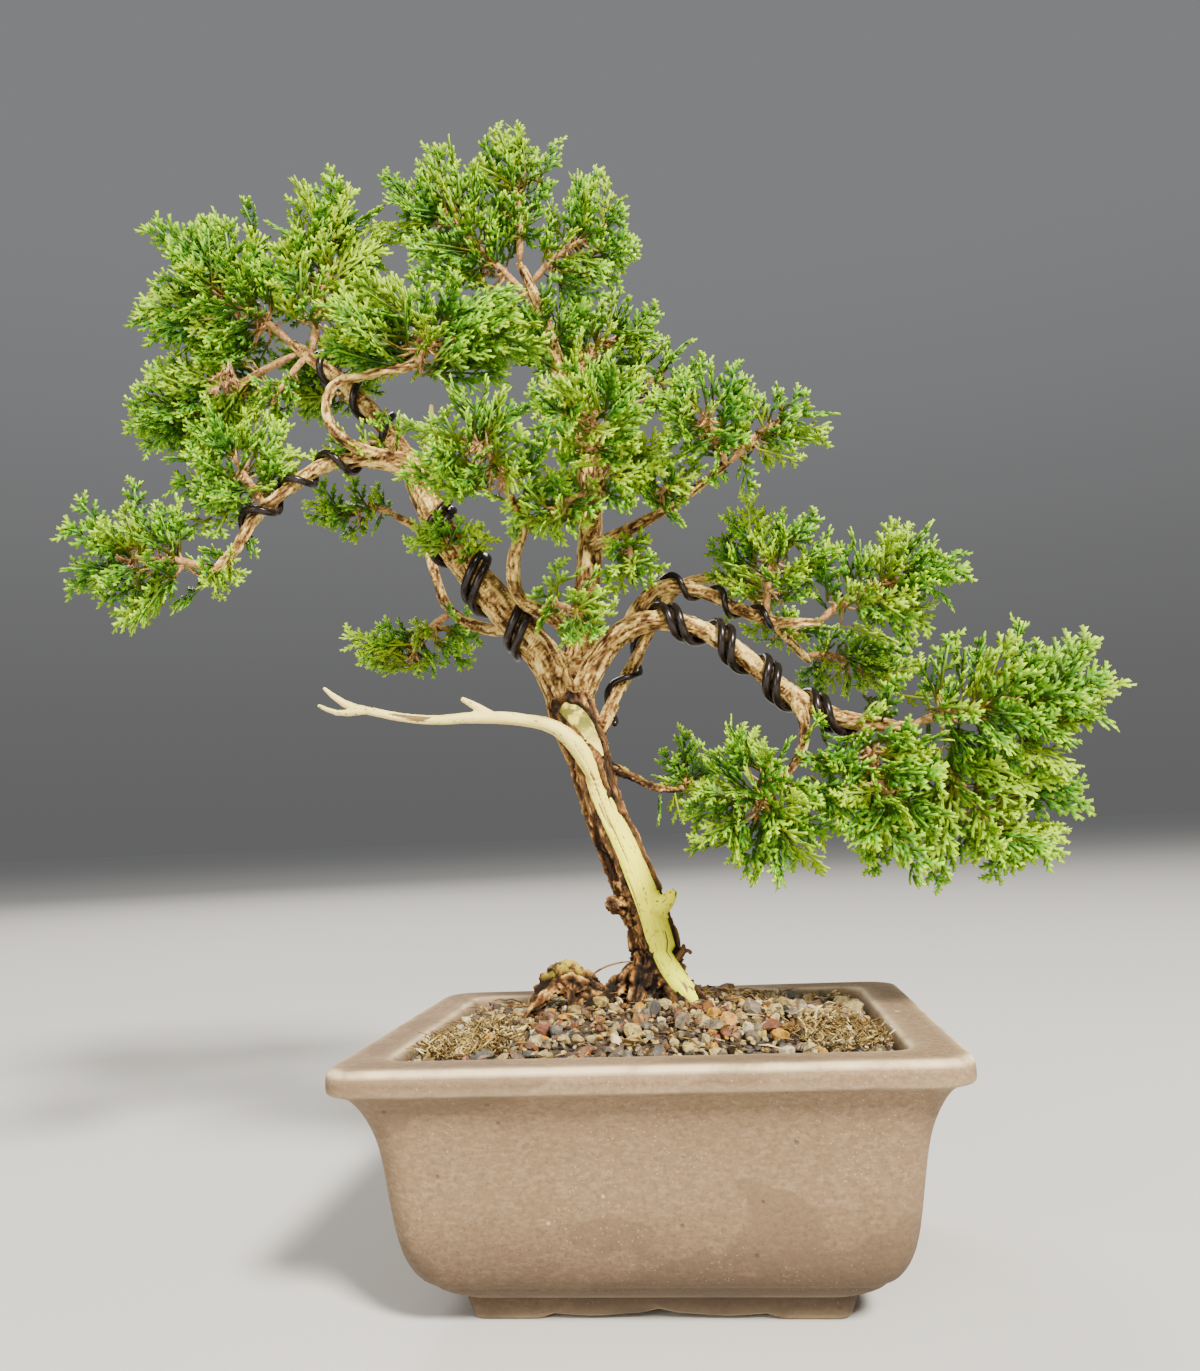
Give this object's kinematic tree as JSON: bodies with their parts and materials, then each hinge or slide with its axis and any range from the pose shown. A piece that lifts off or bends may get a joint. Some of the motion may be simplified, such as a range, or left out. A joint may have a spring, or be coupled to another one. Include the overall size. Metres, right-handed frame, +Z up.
{
  "type": "sawara cypress bonsai in a clay pot",
  "caption": "Wired sawara cypress bonsai with leaning trunk, stripped deadwood branch and leafy pads, growing in grit in a flared rectangular clay pot.",
  "frame": {"origin": "centre of the bounding box, on the surface that the pot's feet stand on", "axes": "+Z up, +X to the right of the pot's long front, +Y towards its back"},
  "size_m": [0.3092, 0.14, 0.3612],
  "materials": {
    "clay": "unglazed taupe stoneware, fine pale speckle, worn rim",
    "grit": "mixed tan, grey and orange grit with dry moss",
    "bark": "flaking reddish brown bark",
    "deadwood": "bare weathered wood, pale cream to greenish yellow",
    "wire": "dark brown anodised, satin",
    "foliage": "scale leaves, mid green with yellow-green tips",
    "screen": "moulded mesh"
  },
  "bodies": {
    "root": {"pot": "clay", "drain_screen_left": "screen", "drain_screen_right": "screen", "soil": "grit", "live_wood": "bark", "deadwood": "deadwood", "wire_back_right": "wire", "wire_left_branch": "wire", "wire_left_limb_a": "wire", "wire_left_limb_b": "wire", "wire_right_limb_a": "wire", "wire_right_limb_b": "wire", "wire_upper_left": "wire", "wire_upper_right": "wire", "foliage_back_high": "foliage", "foliage_back_left": "foliage", "foliage_back_middle": "foliage", "foliage_centre_drop": "foliage", "foliage_centre_right": "foliage", "foliage_centre_side": "foliage", "foliage_crown_left": "foliage", "foliage_crown_right": "foliage", "foliage_crown_top": "foliage", "foliage_far_left": "foliage", "foliage_far_left_inner": "foliage", "foliage_front_left": "foliage", "foliage_front_lower": "foliage", "foliage_front_middle": "foliage", "foliage_front_right": "foliage", "foliage_left_back_small": "foliage", "foliage_left_collar": "foliage", "foliage_left_drop": "foliage", "foliage_left_fork": "foliage", "foliage_left_hanging": "foliage", "foliage_left_low_back": "foliage", "foliage_left_under": "foliage", "foliage_low_back_twig": "foliage", "foliage_right_back": "foliage", "foliage_right_back_inner": "foliage", "foliage_right_low_inner": "foliage", "foliage_right_low_middle": "foliage", "foliage_right_low_outer": "foliage", "foliage_right_low_under": "foliage", "foliage_right_shoulder": "foliage", "foliage_right_tip": "foliage", "foliage_right_upper_inner": "foliage", "foliage_right_upper_outer": "foliage", "foliage_upper_left_inner": "foliage", "foliage_upper_left_outer": "foliage", "foliage_upper_middle": "foliage", "foliage_upper_right_middle": "foliage"}
  },
  "joints": []
}
